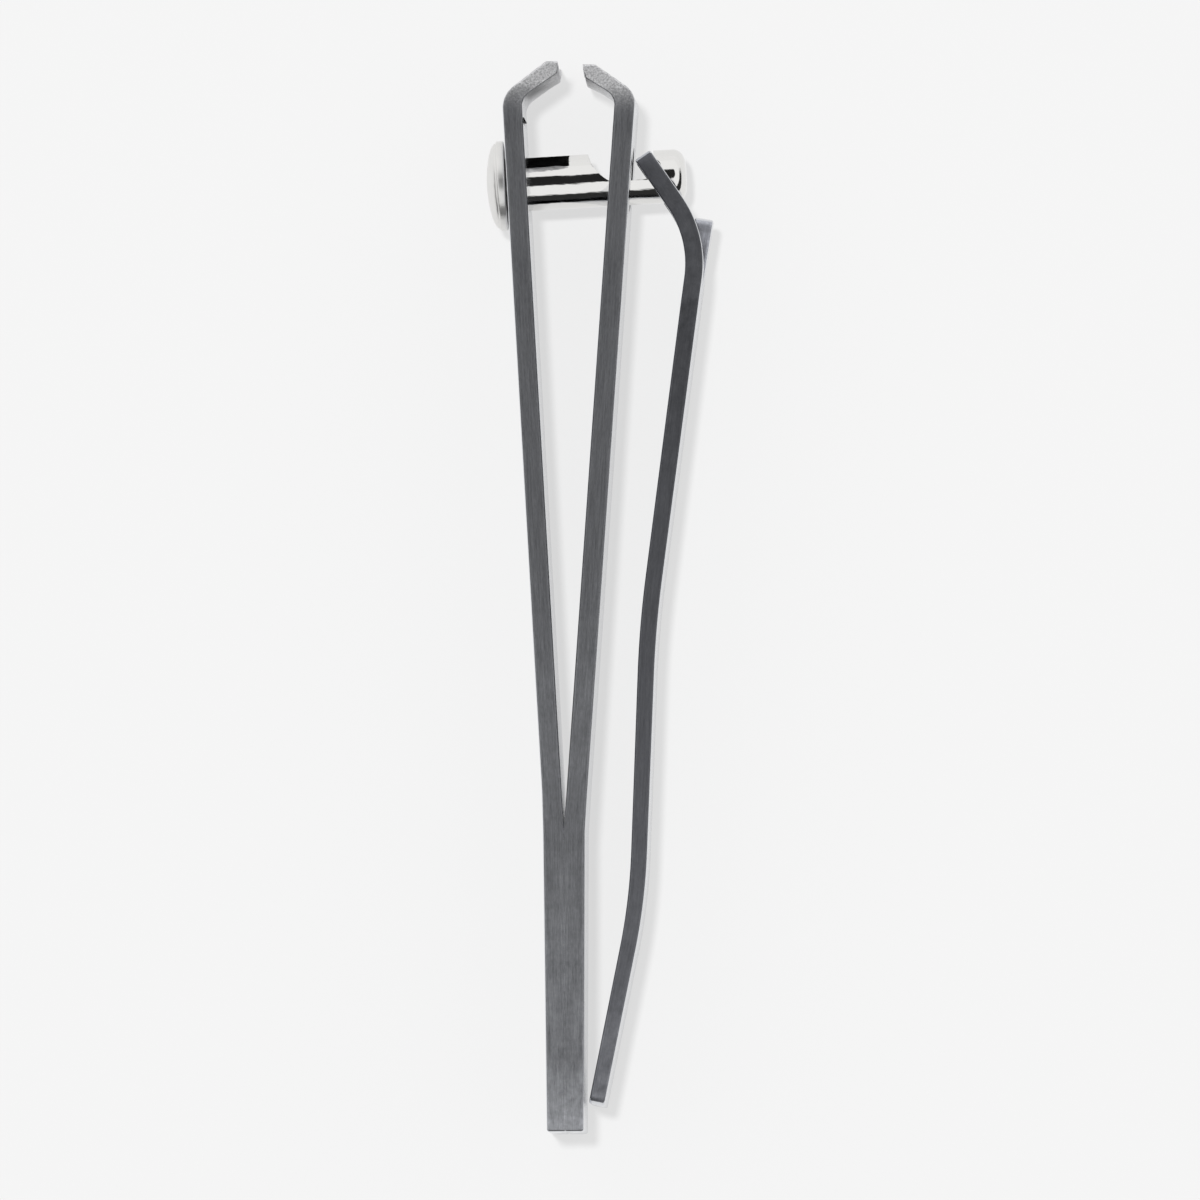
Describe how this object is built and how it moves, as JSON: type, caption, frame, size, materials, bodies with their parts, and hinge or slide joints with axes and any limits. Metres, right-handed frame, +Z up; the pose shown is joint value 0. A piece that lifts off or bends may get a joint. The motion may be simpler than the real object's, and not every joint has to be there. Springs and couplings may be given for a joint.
{
  "type": "nail clipper",
  "caption": "Compound-lever nail clipper of two sprung steel leaves joined at the tail, a headed post with a hooked notch and a folding lever with a tongue, lying on its side.",
  "frame": {"origin": "middle of the whole object's box, on the surface that the sides of its leaves lie on", "axes": "+Y along the clipper to the cutting jaws, +X across the stack towards the lever, +Z up across the width of the leaves"},
  "size_m": [0.017, 0.0798, 0.014],
  "materials": {
    "leaf_steel": "ground and brushed lengthwise on the sides, polished on the broad faces",
    "lever_steel": "ground and brushed lengthwise on the sides, polished on the broad faces",
    "post_plating": "bright plated, turned",
    "weld_steel": "as fused, not seen"
  },
  "bodies": {
    "tail": {"lower_leaf_tail": "leaf_steel", "upper_leaf_tail": "leaf_steel", "spot_weld_front": "weld_steel", "spot_weld_rear": "weld_steel"},
    "lower_arm": {"lower_leaf_arm": "leaf_steel"},
    "upper_arm": {"upper_leaf_arm": "leaf_steel"},
    "post": {"post": "post_plating"},
    "lever": {"lever": "lever_steel"}
  },
  "joints": [
    {"name": "lower_leaf_flex", "type": "hinge", "parent": "tail", "child": "lower_arm", "pos_m": [-0.00279, -0.01754, 0.007], "axis": [0, 0, -1], "range_deg": [0, 0.82], "stiffness_Nm_per_rad": 0.5},
    {"name": "upper_leaf_flex", "type": "hinge", "parent": "tail", "child": "upper_arm", "pos_m": [-0.00279, -0.01754, 0.007], "axis": [0, 0, 1], "range_deg": [0, 0.82], "stiffness_Nm_per_rad": 0.5},
    {"name": "post_spin", "type": "hinge", "parent": "lower_arm", "child": "post", "pos_m": [-0.00534, 0.031, 0.007], "axis": [0.9986, 0.0523, 0], "continuous": true},
    {"name": "lever_flip", "type": "hinge", "parent": "post", "child": "lever", "pos_m": [0.00388, 0.03208, 0.007], "axis": [0, 0, 1], "range_deg": [0, 140]}
  ],
  "couplings": [
    {"joint": "upper_leaf_flex", "follows": "lower_leaf_flex", "ratio": 1}
  ]
}
